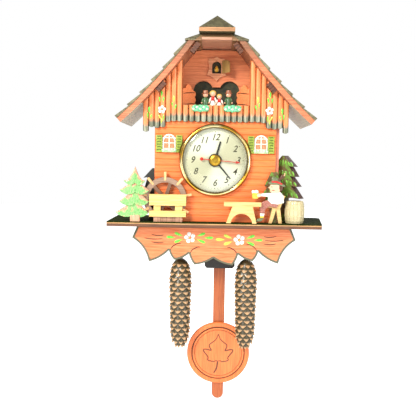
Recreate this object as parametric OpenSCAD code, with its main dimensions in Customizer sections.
// Chalet wall clock with a quartz insert, a swinging pendulum and two hanging cones.
// The origin is the centre of the hanging hole on the back face; the wall is the plane y = 0 and
// the clock's front faces -y. Heights in the modules are measured from the centre of the dial.

/* [House] */
// Height of the hanging hole above the dial's centre
hang_rise = 70; // [62:1:72]
// Half the width of the front board
wall_x = 54.2; // [53:0.1:56]
// Distance of the front board's face from the wall
wall_front = 52; // [50:1:54]
// Thickness of the front board
wall_thick = 4; // [3:0.5:5]
// Thickness of the back, side and gable boards
board = 3; // [2:0.5:3]
// Height of the shelf's top below the dial's centre
shelf_drop = 55.4; // [55:0.1:57]
// Half the opening of the loggia under the roof
loggia_x = 31.5; // [30.5:0.5:32]
// Distance of the gable wall's face from the wall
gable_front = 22; // [20:1:26]

/* [Roof] */
// Half the width of the roof at the eaves
eave_x = 86.2; // [82:0.2:88]
// Height of the eaves above the dial's centre
eave_z = 35.4; // [33:0.2:37]
// Radius of the roof's hollow curve
roof_radius = 465; // [400:5:600]
// Slope of the roof at the eaves, in degrees
eave_slope = 41.9; // [40:0.1:43]
// Depth of the roof from the wall
roof_depth = 64; // [62:1:66]
// Thickness of a roof board
roof_thick = 4.5; // [3.5:0.5:5]
// Courses of shingles on each side
courses = 5; // [4:1:7]

/* [Dial insert] */
// Outer radius of the brass bezel
bezel_r = 32.5; // [31:0.1:33]
// Radius of the bore for the insert
bore_r = 30.2; // [29.8:0.1:30.4]
// Length of the hour hand
hour_length = 17.4; // [14:0.2:19]
// Length of the minute hand
minute_length = 21.4; // [19:0.2:22]
// Length of the second hand
second_length = 23; // [20:0.2:23.4]

/* [Pendulum] */
// Offset of the pendulum from the middle of the clock
pendulum_x = 6; // [4:0.5:7]
// Height of the pendulum's pivot below the dial's centre
pivot_drop = 82; // [81:0.5:83]
// Height of the bob's centre below the dial's centre
bob_drop = 188; // [180:1:192]
// Radius of the bob
bob_r = 30.5; // [26:0.5:31]
// Length of a hanging cone without its stem
cone_length = 85; // [70:1:90]
// Radius of a hanging cone
cone_r = 10.8; // [9:0.2:11]

/* [Hidden] */
round_fn = 64;
glue = 0.15;                       // gap left for glue between the roof and the walls
shelf_z = -shelf_drop;
shelf_thick = 4.4;
floor_z = 44;                      // top of the front board inside the loggia
floor_thick = 2.5;
hood_z = 102.7;                    // underside of the roof's hood
hood_top = 110;
hood_x = 27.5;
cap_x = 15.5;
cap_edge = 3.3;
cap_ridge = 126.5;
soffit_z = 103.5;
soffit_thick = 2;
soffit_x = 13.4;
clad_front = 56;
clad_thick = 3.6;
wheel_x = -44.1;                   // centre of the water wheel
wheel_z = -35;
wheel_pegs = 9;
cone_x = 31;
cone_y = -33;
cone_top = -93;
ring_r = 2.6;
wire = 0.6;
// The hook's arm passes just under the top of the ring, which hangs from it
hook_gap = 0.35;
hook_z = cone_top + 0.2 + 2 * (ring_r - wire) - hook_gap;
pendulum_y = -17;                  // middle of the pendulum's rod

roof_cx = eave_x + roof_radius * sin(eave_slope);
roof_cz = eave_z + roof_radius * cos(eave_slope);
// A point of the roof at angle a of its curve, lifted off the board's upper face
function roof_at(a, lift) =
  [roof_cx - (roof_radius - lift) * sin(a), roof_cz - (roof_radius - lift) * cos(a)];
roof_end = asin((roof_cx - 25.8) / roof_radius);
function roof_angle(t) = eave_slope + t * (roof_end - eave_slope);
// Height of the roof's underside at x
function under(x) = roof_cz - sqrt(pow(roof_radius + roof_thick, 2) - pow(roof_cx - x, 2)) - glue;
// Points of an arc from angle a to angle b
function arc(c, r, a, b, n = 12) = [for (i = [0:n]) c + r * [cos(a + (b - a) * i / n),
  sin(a + (b - a) * i / n)]];
// Points of a shallow curve from p to q that bows by s to the left of its direction
function bow(p, q, s, n = 6) = [for (i = [0:n - 1]) let (t = i / n, d = q - p, l = norm(d))
  p + t * d + 4 * s * t * (1 - t) * [-d[1], d[0]] / l];

module at_dial() { translate([0, 0, -hang_rise]) children(); }
// A flat piece cut from its front outline in x and z, with its face a distance off the wall
module sheet(front, thick) {
  at_dial() translate([0, thick - front, 0]) rotate([90, 0, 0]) linear_extrude(thick) children();
}
module both_sides() { children(); mirror([1, 0, 0]) children(); }
// A round bar along y, between two distances from the wall
module bar(x, z, r, near, far) {
  translate([x, -near, z]) rotate([90, 0, 0]) cylinder(r = r, h = far - near, $fn = round_fn);
}

// ---- House ----

// Outline of a board that fills the house up to the roof, between two heights and out to x
module house_outline(low, x) {
  polygon(concat([[-x, low], [x, low]],
    [for (i = [0:6]) let (u = x - i * (x - soffit_x) / 6) [u, min(under(u), hood_z - glue)]],
    [for (i = [6:-1:0]) let (u = x - i * (x - soffit_x) / 6) [-u, min(under(u), hood_z - glue)]]));
}
module keyhole() {
  translate([0, hang_rise]) {
    circle(r = 4.5, $fn = round_fn);
    translate([-2, 0]) square([4, 9]);
    translate([0, 9]) circle(r = 2, $fn = round_fn);
  }
}
module back_panel() {
  color("peru") sheet(board, board) difference() {
    house_outline(shelf_z, wall_x);
    keyhole();
    circle(r = 18, $fn = round_fn);
  }
}
// The left wall stands behind the front board and the right wall beside it
module side_walls() {
  color("peru") at_dial() {
    translate([-wall_x, wall_thick - wall_front, shelf_z])
      cube([board, wall_front - wall_thick - board, under(wall_x) - shelf_z]);
    translate([wall_x, 2 - wall_front, shelf_z])
      cube([board, wall_front - 2, under(wall_x + board) - shelf_z]);
  }
}
// Horizontal grooves of the front board, as a side profile
groove = 0.5;
module facade_profile() {
  top = under(loggia_x);
  grooves = [for (z = [shelf_z + 5.6 : 5.6 : floor_z]) z];
  polygon(concat([[wall_thick - wall_front, top], [wall_thick - wall_front, shelf_z],
    [-wall_front, shelf_z]], [for (z = grooves, s = [-1:1]) [-wall_front + (s == 0 ? groove : 0),
    z + s * groove]], [[-wall_front, top]]));
}
module facade() {
  color("darkorange") at_dial() intersection() {
    translate([-wall_x, 0, 0]) rotate([90, 0, 90]) linear_extrude(2 * wall_x) facade_profile();
    rotate([90, 0, 0]) linear_extrude(wall_front + 1) difference() {
      house_outline(shelf_z, wall_x);
      translate([-loggia_x, floor_z]) square([2 * loggia_x, 80]);
      circle(r = bore_r, $fn = 128);
      translate([wheel_x, wheel_z]) circle(r = 1.2, $fn = round_fn);
    }
  }
}
module double_arch(grow) {
  for (s = [-1, 1]) translate([s * 12.3, 65]) circle(r = 9.3 + grow, $fn = round_fn);
  translate([-20 - grow, 52 - grow]) square([40 + 2 * grow, 13 + grow]);
  translate([-10, 60]) square([20, 8.5]);
}
module cuckoo_hole(grow) {
  translate([0, 88]) circle(r = 4.4 + grow, $fn = round_fn);
  translate([-4.4 - grow, 81]) square([8.8 + 2 * grow, 7]);
}
module gable_wall() {
  color("sienna") sheet(gable_front, board) difference() {
    house_outline(floor_z + floor_thick, wall_x - board - 0.2);
    double_arch(0);
    cuckoo_hole(0);
  }
}
module window_backing() {
  color("darkolivegreen") sheet(gable_front - board, 2)
    translate([-24, 48]) square([48, 49]);
}
module loggia_floor() {
  color("peru") at_dial() translate([-loggia_x + 0.2, -wall_front, floor_z])
    cube([2 * loggia_x - 0.4, wall_front - board, floor_thick]);
}
// A loggia door: a plank panel with a wavy free edge and top, turned open
module loggia_door() {
  base = floor_z + floor_thick;
  translate([loggia_x - 1.9, -wall_front + 1, base]) rotate([0, 0, 122]) rotate([90, 0, 0])
    linear_extrude(2) polygon(concat([[0, 0], [18, 0]],
      [for (i = [0:2], p = arc([18, 3 + i * 5.4], 2.4, -80, 80, 6)) p],
      arc([9, 16.5], 5, 10, 170, 8), [[0, 17]]));
}
module loggia_doors() { color("coral") at_dial() both_sides() loggia_door(); }

// ---- Roof ----

roof_steps = 12;
module roof_board() {
  rotate([90, 0, 0]) linear_extrude(roof_depth) polygon(concat(
    [for (i = [0:roof_steps]) roof_at(roof_angle(i / roof_steps), 0)],
    [[24.5, hood_z], [19.2, hood_z], [19.2, under(19.2) + glue]],
    [for (i = [roof_steps:-1:0]) roof_at(roof_angle(i / roof_steps), -roof_thick)]));
}
module roof_boards() { color("chocolate") at_dial() both_sides() roof_board(); }
course_thick = 1;
module shingle_courses() {
  for (i = [0:courses - 1]) {
    low = roof_angle(i / courses);
    high = roof_angle((i + 1) / courses - 0.01);
    rotate([90, 0, 0]) linear_extrude(roof_depth + 0.6) polygon([roof_at(low, glue / 3),
      roof_at(low, course_thick + 0.4), roof_at(high, course_thick * 0.6), roof_at(high, glue / 3)]);
  }
}
module shingles() { color("dimgray") at_dial() both_sides() shingle_courses(); }
// A hipped block: the overlap of a front outline and a side outline
module hipped(front, side) {
  intersection() {
    translate([0, 1, 0]) rotate([90, 0, 0]) linear_extrude(roof_depth + 8) polygon(front);
    translate([-60, 0, 0]) rotate([90, 0, 90]) linear_extrude(120) polygon(side);
  }
}
module hood() {
  notch = soffit_z + soffit_thick;
  color("dimgray") at_dial() hipped(
    [[-hood_x, hood_z], [-hood_x, hood_z + 1], [-cap_x + 0.4, hood_top], [cap_x - 0.4, hood_top],
      [hood_x, hood_z + 1], [hood_x, hood_z], [soffit_x, hood_z], [soffit_x, notch],
      [-soffit_x, notch], [-soffit_x, hood_z]],
    [[0, hood_z], [0, hood_top], [8 - roof_depth, hood_top], [-roof_depth - 1, hood_z + 1],
      [-roof_depth - 1, hood_z]]);
}
module ridge_cap() {
  front = roof_depth + 2;
  color("dimgray") at_dial() hipped(
    [[-cap_x, hood_top], [-cap_x, hood_top + cap_edge], [0, cap_ridge],
      [cap_x, hood_top + cap_edge], [cap_x, hood_top]],
    [[0, hood_top], [0, cap_ridge], [14 - front, cap_ridge], [-front, hood_top + cap_edge],
      [-front, hood_top]]);
}
module soffit() {
  color("tan") at_dial() translate([-soffit_x + 0.1, -roof_depth + 1, soffit_z])
    cube([2 * soffit_x - 0.2, roof_depth - 2, soffit_thick]);
}
// A grooved beam end that lies along the roof at t of its curve, with its axis below the board
module beam_end(t, drop) {
  p = roof_at(roof_angle(t), -roof_thick - drop);
  translate([p[0], -59.5, p[1]]) rotate([0, roof_angle(t), 0]) difference() {
    cube([9.6, 6.4, 4.2], center = true);
    for (i = [-1:1]) translate([i * 2.6, -3.2, 0]) cube([0.7, 0.8, 6], center = true);
    for (i = [-1:1]) translate([i * 2.6, 0, -2.1]) cube([0.7, 8, 0.8], center = true);
  }
}
module beam_ends() {
  color("saddlebrown") at_dial() both_sides() {
    beam_end(0.52, 2.3);
    beam_end(1.01, 3.8);
  }
}

// ---- Cladding, balcony and shelf ----

// Planks with rounded faces and rounded lower ends, side by side, from x = a, one for each foot
module planks(a, width, feet, tops) {
  for (i = [0:len(feet) - 1]) translate([a + (i + 0.5) * width, -clad_front + clad_thick, 0])
    intersection() {
      linear_extrude(100) difference() {
        translate([-width / 2, -clad_thick]) square([width, clad_thick]);
        for (s = [-1, 1]) translate([s * width / 2, -clad_thick]) rotate(45) square(1.3, center = true);
      }
      rotate([90, 0, 0]) linear_extrude(clad_thick) polygon([[-width / 2, feet[i] + 1.6],
        [-width / 4, feet[i] + 0.5], [0, feet[i]], [width / 4, feet[i] + 0.5],
        [width / 2, feet[i] + 1.6], [width / 2, tops(a + (i + 1) * width)],
        [-width / 2, tops(a + i * width)]]);
    }
}
clad_in = 29.8;
plank = 4.96;
clad_feet = [34, 34, 33.4, 28.6, 28, 28.6, 24.4];
module cladding() {
  color("sandybrown") at_dial() both_sides()
    planks(clad_in, plank, clad_feet, function(x) under(x));
}
rail_top = 48.4;
rail_planks = 11;
module balcony() {
  half = clad_in - 0.2;
  width = 2 * half / rail_planks;
  color("sandybrown") at_dial()
    planks(-half, width, [for (i = [1:rail_planks]) 33.8], function(x) rail_top);
}
module flower_boxes() {
  color("mediumseagreen") at_dial() for (x = [-13.6, 14.6])
    translate([x, -clad_front, 45.6]) rotate([90, 0, 0]) linear_extrude(3.4)
      polygon(concat(arc([-5.2, 0], 2.9, 90, 270, 6), arc([0, -1.2], 2.4, 240, 300, 4),
        arc([5.2, 0], 2.9, -90, 90, 6), arc([0, 1.4], 1.8, 60, 120, 4)));
}
shelf_half = 95.6;
module shelf_outline() {
  r = 6;
  polygon(concat([[-shelf_half, 0], [-shelf_half, -roof_depth + 2], [shelf_half, -roof_depth + 2]],
    arc([shelf_half + 8 - r, -r], r, 0, 90, 8)));
}
module shelf() {
  color("saddlebrown") at_dial() translate([0, 0, shelf_z - shelf_thick])
    linear_extrude(shelf_thick - 1) shelf_outline();
}
// The flock mat covers the shelf outside the walls
module grass_mat() {
  color("darkgreen") at_dial() translate([0, 0, shelf_z - 1]) linear_extrude(1) shelf_outline();
}
skirt_front = 48;
skirt_thick = 5;
// Half of the apron's lower edge, from its shoulder to the middle
function skirt_half() = concat([[70, -shelf_drop - shelf_thick], [75, -71.8]],
  bow([75, -71.8], [59.5, -93.8], -3), bow([59.5, -93.8], [41, -83], 1.5),
  bow([41, -83], [35.8, -91.9], 0.8), bow([35.8, -91.9], [22.6, -85.8], 1),
  bow([22.6, -85.8], [17.5, -96], 0.6), bow([17.5, -96], [0, -89.7], 1.2), [[0, -89.7]]);
module skirt() {
  half = skirt_half();
  color("coral") sheet(skirt_front, skirt_thick)
    polygon(concat(half, [for (i = [len(half) - 2:-1:0]) [-half[i][0], half[i][1]]]));
}

// ---- Windows and cuckoo ----

module window_sheet(front, thick) {
  at_dial() for (x = [-41.2, 40.8]) translate([x, thick - front, 14.9])
    rotate([90, 0, 0]) linear_extrude(thick) children();
}
module windows() {
  color("yellowgreen") difference() {
    window_sheet(wall_front + 2, 2) difference() {
      union() {
        translate([-11.8, -8.4]) square([23.6, 15.4]);
        translate([0, 2.2]) circle(r = 5.9, $fn = round_fn);
      }
      for (s = [-1, 1]) translate([s * 2.3 - 1.9, -4.6]) square([3.8, 4]);
      for (s = [-1, 1]) translate([s * 2.3 - 1.9, 0.3]) square([3.8, 4]);
    }
    layer(wall_front - 1, wall_front + 3) circle(r = bezel_r + 0.4, $fn = 128);
  }
}
module cuckoo_frame() {
  color("rosybrown") sheet(gable_front + 2, 2) difference() {
    polygon([[0, 96.4], [-3, 94.4], [-7, 94.8], [-8, 92], [-6.8, 88], [-7.8, 82.5], [-9, 79.4],
      [-4.5, 78], [0, 74.1], [4.5, 78], [9, 79.4], [7.8, 82.5], [6.8, 88], [8, 92], [7, 94.8],
      [3, 94.4]]);
    cuckoo_hole(-0.2);
  }
}
door_turn = 50;
door_y = -24.9;
module cuckoo_door() {
  color("olive") at_dial() translate([5.6, door_y, 0]) {
    translate([0, 0, 80.8]) cylinder(r = 0.55, h = 11.6, $fn = round_fn);
    rotate([0, 0, -door_turn]) translate([0.3, -0.4, 0]) rotate([90, 0, 0])
      translate([0, 0, -0.8]) linear_extrude(0.8) polygon([[0, 81], [10, 81], [10, 88],
        [8.6, 91.2], [5.4, 92.4], [0, 92.4]]);
  }
}
module cuckoo_bird() {
  color("gold") at_dial() translate([0, -21.2, 84.6]) {
    sphere(r = 2, $fn = 32);
    translate([0, -0.6, 2.4]) sphere(r = 1.4, $fn = 32);
    translate([0, -1.8, 2.4]) rotate([90, 0, 0]) cylinder(r1 = 0.5, r2 = 0.1, h = 1.1, $fn = 24);
    translate([0, 0, -3.6]) cylinder(r = 0.6, h = 2.2, $fn = 24);
  }
}
// A small turned dancer: skirt or coat, body, head and hat
module dancer(x, tall) {
  translate([x, -35, floor_z + floor_thick]) {
    cylinder(r1 = 2.7, r2 = 1.4, h = tall * 0.55, $fn = 24);
    translate([0, 0, tall * 0.5]) cylinder(r1 = 2.1, r2 = 1.3, h = tall * 0.22, $fn = 24);
    translate([0, 0, tall * 0.82]) sphere(r = 2.1, $fn = 24);
    translate([0, 0, tall * 0.9]) cylinder(r1 = 2.5, r2 = 1.6, h = 1.9, $fn = 24);
  }
}
module dancers() {
  color("seagreen") at_dial() for (i = [0:3]) dancer([-9.4, -2.4, 3.2, 12][i], [18, 19, 16.4, 18][i]);
}

// ---- Garden on the shelf ----

// A fir tree cut from a board. Each tier is [reach left, reach right, height of its tips]
module fir_outline(tiers, top, blunt, trunk) {
  last = tiers[len(tiers) - 1][2];
  right = [for (t = tiers, s = [0, 1]) [t[1] * (1 - s * 0.42), t[2] + s * 0.7]];
  left = [for (i = [len(tiers) - 1:-1:0], s = [1, 0]) [-tiers[i][0] * (1 - s * 0.42),
    tiers[i][2] + s * 0.7]];
  polygon(concat([[-blunt, top], [blunt, top]], right, [[trunk, last], [trunk, shelf_z],
    [-trunk, shelf_z], [-trunk, last]], left));
}
module light_tree() {
  color("lightgreen") sheet(61.9, 4.4) translate([-70.6, 0])
    fir_outline([[11, 6.6, -19], [14.4, 11.4, -27], [14.6, 11.6, -36], [17.8, 11.8, -48]],
      -6.6, 0.5, 4.4);
}
module dark_trees() {
  color("darkolivegreen") {
    difference() {
      at_dial() translate([61.6, -44, 0]) rotate([0, 0, -35]) translate([0, 9, 0])
        rotate([90, 0, 0]) linear_extrude(9)
          fir_outline([[10, 10.9, -4.8], [12, 12.8, -13.8], [14, 15.4, -22.7],
            [15, 17.6, -33.4]], 5.3, 0.8, 2.6);
      translate([0, -60, -200]) cube([wall_x + board + 0.2, 60, 300]);
    }
    sheet(54.3, 2.2) translate([53.2, 0])
      fir_outline([[8.4, 6, -22.4], [10.2, 5, -30], [10.4, 5, -42]], -9.7, 2.8, 3);
    difference() {
      sheet(44, 5) translate([-56.4, 0])
        fir_outline([[9, 6, -17], [8.4, 6, -28], [7, 6, -38], [6, 6, -49]], -8, 0.8, 3.6);
      translate([-wall_x - 0.2, -60, -200]) cube([20, 60, 300]);
    }
  }
}
wheel_y = -53;                     // back face of the water wheel
// A fixed wheel: the pegs that would stand below the shelf's top are left out
module waterwheel() {
  color("tan") at_dial() translate([wheel_x, wheel_y, wheel_z]) rotate([90, 0, 0]) {
    linear_extrude(4) difference() {
      union() {
        difference() {
          circle(r = 19.4, $fn = 96);
          circle(r = 14.6, $fn = 96);
        }
        for (i = [0:5]) rotate(i * 60 + 12) translate([0, -1.5]) square([15.4, 3]);
        circle(r = 4, $fn = round_fn);
      }
      circle(r = 1.06, $fn = round_fn);
    }
    for (i = [0:wheel_pegs - 1]) if (i != 4 && i != 5)
      rotate(90 + i * 360 / wheel_pegs) translate([19, 0, 2])
        rotate([0, 90, 0]) cylinder(r = 1.1, h = 5, $fn = 24);
  }
}
pin_r = 1;
module pivot_pins() {
  color("silver") at_dial() {
    bar(wheel_x, wheel_z, pin_r, wall_front - wall_thick, 57.4);
    bar(pendulum_x, -pivot_drop, pin_r, 5.5, 20.2);
  }
}
module trough() {
  color("wheat") sheet(61.5, 4) translate([-41.4, 0]) {
    translate([-16.2, -40]) square([32.4, 9.4]);
    for (x = [-11.6, 11.6]) translate([x - 3.1, -46]) square([6.2, 6]);
    translate([-16.6, -50.2]) square([33.2, 4.2]);
    translate([-13.4, shelf_z]) square([26.8, 5.2]);
  }
}
module table() {
  color("wheat") sheet(61.9, 2.5) translate([25.1, 0]) difference() {
    union() {
      translate([-16.5, -40.5]) square([33, 4]);
      polygon([[-9, -40.5], [9, -40.5], [12.6, shelf_z], [-14.4, shelf_z]]);
    }
    translate([-0.8, -56.4]) circle(r = 9.6, $fn = round_fn);
    translate([-13, -41.4]) rotate(-18) translate([-4, -14]) square([4, 14]);
  }
}
module chair() {
  color("burlywood") sheet(56.5, 2) polygon([[48.8, shelf_z], [51.8, shelf_z], [55.4, -43],
    [57.6, shelf_z], [60.7, shelf_z], [58.9, -42], [63.2, -31], [61.4, -30.2], [56.6, -38.4],
    [48, -38.4], [48, -41.4], [52, -41.8]]);
}
// A seated drinker with a pointed hat, an arm held out and a mug, cut from thick board
module drinker() {
  color("whitesmoke") sheet(59.2, 2.5) polygon([[50, -13.2], [54.4, -17], [61.8, -20.4],
    [63.2, -23.4], [59.4, -23.4], [58.6, -27.4], [61.6, -30.6], [62, -36.6], [57, -38.2],
    [50, -38.2], [45.4, -42], [44.6, -47], [41.6, -53.6], [37.4, -54.2], [38.6, -51.6],
    [40.4, -50.4], [40.2, -41.6], [42.4, -36.4], [47.4, -34.8], [47.8, -32], [41, -31.4],
    [38.8, -33.6], [33.8, -33.6], [33.2, -26.8], [38.6, -26.4], [39.4, -29], [46.4, -28],
    [50, -27.4], [49.4, -24.6], [48, -22.6], [49.8, -20.2]]);
}
module barrel() {
  color("beige") at_dial() translate([72.6, -50, shelf_z]) {
    cylinder(r1 = 7.6, r2 = 9.1, h = 10.5, $fn = round_fn);
    translate([0, 0, 10.5]) cylinder(r1 = 9.1, r2 = 8, h = 10.5, $fn = round_fn);
  }
}

// ---- Cones and pendulum ----

stem = 3;
module cone(x) {
  color("darkolivegreen") at_dial() translate([x, cone_y, cone_top]) {
    rotate_extrude($fn = round_fn) polygon(concat([[0, 0], [stem, 0], [stem + 0.4, -2]],
      [for (a = [70:-10:0]) [3 + (cone_r - 3) * cos(a), -22 + 20 * sin(a)]],
      [for (a = [0:-15:-90]) [(cone_r - 1.4) * (0.15 + 0.85 * cos(a)), -cone_length + 18 + 18 * sin(a)]],
      [[0, -cone_length]]));
    translate([0, 0, 0.2]) ring(ring_r, wire);
  }
}
// A wire ring that stands in the plane of x and z above the origin
module ring(r, wire) {
  translate([0, 0, r]) rotate([90, 0, 0]) rotate_extrude($fn = round_fn)
    translate([r, 0]) circle(r = wire, $fn = 24);
}
module cone_left() { cone(-cone_x); }
module cone_right() { cone(cone_x); }
// Square hooks screwed up into the shelf; each cone's ring hangs on a hook's level arm
module cone_hooks() {
  color("silver") at_dial() for (s = [-1, 1]) translate([s * cone_x, cone_y, hook_z]) {
    translate([0, 2.6, -wire]) cylinder(r = 0.9, h = shelf_z - shelf_thick - hook_z + wire,
      $fn = round_fn);
    translate([0, 2.6, 0]) rotate([90, 0, 0]) cylinder(r = wire, h = 4.8, $fn = round_fn);
    translate([0, -2.2, -wire]) cylinder(r = wire, h = 2.4, $fn = round_fn);
  }
}
rod_half = 5.6;
rod_thick = 3;
rod_top = -98;
module pendulum() {
  color("sienna") at_dial() translate([pendulum_x, 0, 0]) {
    translate([0, pendulum_y + rod_thick / 2, 0]) rotate([90, 0, 0]) linear_extrude(rod_thick)
      difference() {
        union() {
          translate([-rod_half, -230]) square([2 * rod_half, 230 + rod_top]);
          translate([0, -229.6]) circle(r = rod_half, $fn = round_fn);
        }
        translate([0, rod_top - 3]) circle(r = 1.3, $fn = round_fn);
      }
    translate([0, pendulum_y - rod_thick / 2, -bob_drop]) rotate([90, 0, 0])
      cylinder(r = bob_r, h = 3, $fn = 128);
  }
}
arm_y = -15.2;                     // front face of the swinging arm
module swing_arm() {
  color("gainsboro") at_dial() translate([pendulum_x, 0, 0]) {
    translate([0, arm_y + 1.6, 0]) rotate([90, 0, 0]) linear_extrude(1.6) difference() {
      union() {
        translate([0, -pivot_drop]) circle(r = 3, $fn = round_fn);
        translate([-2, rod_top - 5]) square([4, -rod_top + 5 - pivot_drop]);
        translate([0, -91]) circle(r = 5, $fn = round_fn);
      }
      translate([0, -pivot_drop]) circle(r = pin_r + 0.06, $fn = round_fn);
    }
    bar(0, rod_top - 3, 1.2, -arm_y, -pendulum_y + 2.4);
  }
}

// ---- Pendulum drive ----

drive_front = 21.8;
drive_wall = 1.6;
drive_back = 5.5;                  // where the cover closes the housing
drive_top = -shelf_drop - shelf_thick;
module drive_outline(inset) {
  w = 30 - inset;
  n = 14.5 - inset;
  polygon([[-w, drive_top - inset], [w, drive_top - inset], [w, -80 + inset], [n, -80 + inset],
    [n, -101.5], [n - 2, -103.8], [2 - n, -103.8], [-n, -101.5], [-n, -80 + inset],
    [-w, -80 + inset]]);
}
module drive_housing() {
  color("black") translate([pendulum_x, 0, 0]) difference() {
    sheet(drive_front, drive_front - drive_back) drive_outline(0);
    at_dial() translate([0, -drive_back + 1, 0]) rotate([90, 0, 0])
      linear_extrude(drive_front - drive_back - drive_wall + 1) union() {
        drive_outline(drive_wall);
        translate([drive_wall - 14.5, -110]) square([29 - 2 * drive_wall, 12]);
      }
  }
}
module drive_cover() {
  color("black") translate([pendulum_x, 0, 0]) sheet(drive_back, 1.5) drive_outline(0);
}
module drive_battery() {
  color("gold") at_dial() translate([pendulum_x - 25, -12.8, -70]) rotate([0, 90, 0]) {
    cylinder(r = 7, h = 49, $fn = round_fn);
    translate([0, 0, 49]) cylinder(r = 2.6, h = 1.2, $fn = round_fn);
  }
}
module drive_coil() {
  color("peru") at_dial() translate([pendulum_x, 0, 0]) difference() {
    bar(0, -93, 7, drive_back, 12.6);
    bar(0, -93, 2, drive_back - 1, 14);
  }
}

// ---- Dial insert ----

// Gear centres as seen from the front, from the middle of the dial
function polar(r, a) = r * [cos(a), sin(a)];
third_angle = 200;
minute_angle = -30;
inter_angle = 80;
third_at = polar(8.5, third_angle);
minute_at = polar(8, minute_angle);
inter_at = polar(8.75, inter_angle);
rotor_at = inter_at + polar(6, 10);
setting_angle = -60;
setting_at = minute_at + polar(8, setting_angle);
arbor = 0.45;
bush = 0.06;                       // running clearance of an arbor in its bore
module at(p) { translate([p[0], p[1]]) children(); }
// A gear with straight-sided teeth; one tooth points along angle a
module gear(teeth, m, a) {
  pitch = 360 / teeth;
  r = teeth * m / 2;
  polygon([for (i = [0:teeth - 1], s = [[-0.36, -1.2], [-0.12, 0.8], [0.12, 0.8], [0.36, -1.2]])
    polar(r + s[1] * m, a + (i + s[0]) * pitch)]);
}
// The same with a space along angle a
module gear_space(teeth, m, a) { gear(teeth, m, a + 180 / teeth); }
// A flat piece of the movement between two distances from the wall
module layer(near, far) {
  at_dial() translate([0, -near, 0]) rotate([90, 0, 0]) linear_extrude(far - near) children();
}
module disc(r) { circle(r = r, $fn = round_fn); }
cup_r = bore_r - 0.05;
floor_near = 33;                   // back of the cup
floor_far = 34.2;
plate_near = 50.2;
plate_far = 51.2;
m_third = 0.25;
m_centre = 0.25 * 34 / 36;
module insert_cup() {
  color("dimgray") {
    layer(floor_near, floor_far) difference() {
      circle(r = cup_r, $fn = 128);
      for (p = [third_at, inter_at, rotor_at]) at(p) disc(arbor + bush);
      disc(arbor + bush);
      at(setting_at) disc(0.7 + bush);
      at([-14, -14]) disc(6);
    }
    layer(floor_far, plate_far) difference() {
      circle(r = cup_r, $fn = 128);
      circle(r = bore_r - 1.6, $fn = 128);
    }
  }
}
module insert_bezel() {
  color("gold") at_dial() translate([0, -wall_front, 0]) rotate([90, 0, 0])
    rotate_extrude($fn = 128) polygon(concat([[28.6, 0], [bezel_r - 0.4, 0]],
      [for (a = [0:15:180]) [30.4, 2.6] + [(bezel_r - 30.4) * cos(a - 20), 2.9 * sin(a - 20)]],
      [[28.6, 3.2]]));
}
module dial_plate() {
  color("ivory") layer(plate_far, wall_front - 0.1) difference() {
    circle(r = cup_r, $fn = 128);
    disc(1.8);
  }
}
module dial_glass() { color("lightcyan", 0.3) layer(55.6, 56.6) circle(r = 28.3, $fn = 128); }
module movement_front() {
  color("gray") layer(plate_near, plate_far) difference() {
    circle(r = bore_r - 1.7, $fn = 128);
    disc(1.6 + bush);
    for (p = [third_at, minute_at, inter_at, rotor_at]) at(p) disc(arbor + bush);
    at(setting_at) disc(0.7 + bush);
  }
}
module button_cell() {
  color("silver") at_dial() bar(-14, -14, 5.8, floor_near + 0.2, floor_near + 5.6);
}
module coil() {
  color("peru") {
    at_dial() translate([0.6, -41, -15.4]) rotate([0, 90, 0]) {
      translate([0, 0, 1]) cylinder(r = 2.9, h = 12, $fn = round_fn);
      cylinder(r = 3.4, h = 1, $fn = round_fn);
      translate([0, 0, 13]) cylinder(r = 3.4, h = 1, $fn = round_fn);
    }
    layer(40.4, 41.6) difference() {
      union() {
        translate([14.6, -17]) square([3.4, 26]);
        translate([7.4, 5]) square([10.6, 9]);
      }
      at(rotor_at) disc(3);
    }
  }
}
module rotor() {
  color("dimgray") {
    layer(floor_near, plate_far) at(rotor_at) disc(arbor);
    layer(39.8, 42.2) at(rotor_at) disc(2.4);
    layer(42.7, 43.5) at(rotor_at) gear(8, m_third, 190);
  }
}
module intermediate_wheel() {
  color("khaki") {
    layer(floor_near, plate_far) at(inter_at) disc(arbor);
    layer(42.7, 43.5) at(inter_at) gear_space(40, m_third, 10);
    layer(43.5, 44.7) at(inter_at) gear(10, m_third, inter_angle + 180);
  }
}
module second_wheel() {
  color("white") {
    layer(floor_near, 54.6) disc(arbor);
    layer(43.9, 44.7) gear_space(60, m_third, inter_angle);
    layer(44.7, 45.9) gear(8, m_third, third_angle);
  }
}
module third_wheel() {
  color("khaki") {
    layer(floor_near, plate_far) at(third_at) disc(arbor);
    layer(45.1, 45.9) at(third_at) gear_space(60, m_third, third_angle + 180);
    layer(45.9, 47.1) at(third_at) gear(8, m_centre, third_angle + 180);
  }
}
minute_bore = arbor + 0.1;
module centre_wheel() {
  color("white") {
    layer(46.3, 47.1) difference() {
      gear_space(64, m_centre, third_angle);
      disc(minute_bore);
    }
    layer(47.1, 48.3) difference() {
      gear(10, 0.4, minute_angle);
      disc(minute_bore);
    }
    layer(48.3, 53.6) difference() {
      disc(1);
      disc(minute_bore);
    }
  }
}
module minute_wheel() {
  color("khaki") {
    layer(47.4, plate_far) at(minute_at) disc(arbor);
    layer(47.5, 48.3) at(minute_at) gear_space(30, 0.4, minute_angle + 180);
    layer(48.3, 49.5) at(minute_at) gear(10, 0.32, minute_angle + 180);
  }
}
module hour_wheel() {
  color("white") {
    layer(48.7, 49.5) difference() {
      gear_space(40, 0.32, minute_angle);
      disc(1.1);
    }
    layer(49.5, 52.9) difference() {
      disc(1.6);
      disc(1.1);
    }
  }
}
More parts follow.
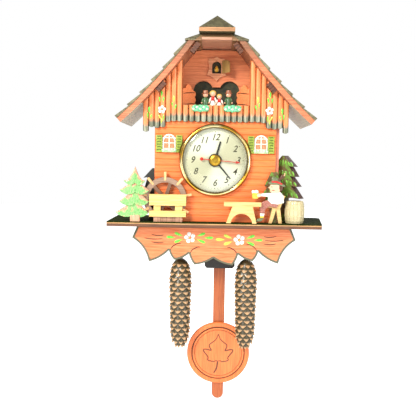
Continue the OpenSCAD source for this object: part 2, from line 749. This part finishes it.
// A tooth of the minute wheel points at the knob's pinion, so the pinion has a space there
module setting_knob() {
  color("black") {
    layer(29, floor_near - 0.1) at(setting_at) gear(12, 0.3, 0);
    layer(floor_near - 0.1, plate_far) at(setting_at) disc(0.7);
    layer(47.5, 48.3) at(setting_at) gear_space(10, 0.4, setting_angle + 180);
  }
}

// ---- Hands ----

// Angles clockwise from twelve
hour_turn = 15.6;
minute_turn = 139.7;
second_turn = 94.7;
module hand(near, far, turn) { layer(near, far) rotate(-turn) children(); }
module hour_hand() {
  color("black") hand(52.5, 52.9, hour_turn) difference() {
    union() {
      polygon([[-0.9, -4], [0.9, -4], [0.75, hour_length], [-0.75, hour_length]]);
      disc(2.6);
    }
    disc(1.6);
  }
}
module minute_hand() {
  color("black") hand(53.2, 53.6, minute_turn) difference() {
    union() {
      polygon([[-0.8, -4.6], [0.8, -4.6], [0.55, minute_length], [-0.55, minute_length]]);
      disc(2.2);
    }
    disc(1);
  }
}
module second_hand() {
  color("crimson") {
    hand(54.1, 54.5, second_turn) difference() {
      union() {
        polygon([[-0.4, -12], [0.4, -12], [0.3, second_length - 4], [1.4, second_length - 4.6],
          [0, second_length], [-1.4, second_length - 4.6], [-0.3, second_length - 4]]);
        translate([0, -12]) disc(1.5);
        disc(1.8);
      }
      disc(arbor);
    }
    layer(54.6, 55.3) disc(1.6);
  }
}

back_panel();
side_walls();
facade();
gable_wall();
window_backing();
loggia_floor();
loggia_doors();
cladding();
balcony();
flower_boxes();
roof_boards();
shingles();
hood();
ridge_cap();
soffit();
beam_ends();
shelf();
grass_mat();
skirt();
windows();
cuckoo_frame();
cuckoo_door();
cuckoo_bird();
dancers();
light_tree();
dark_trees();
waterwheel();
pivot_pins();
trough();
table();
chair();
drinker();
barrel();
cone_left();
cone_right();
cone_hooks();
insert_cup();
insert_bezel();
dial_plate();
dial_glass();
movement_front();
button_cell();
coil();
rotor();
intermediate_wheel();
second_wheel();
third_wheel();
centre_wheel();
minute_wheel();
hour_wheel();
hour_hand();
minute_hand();
second_hand();
setting_knob();
drive_housing();
drive_cover();
drive_battery();
drive_coil();
swing_arm();
pendulum();
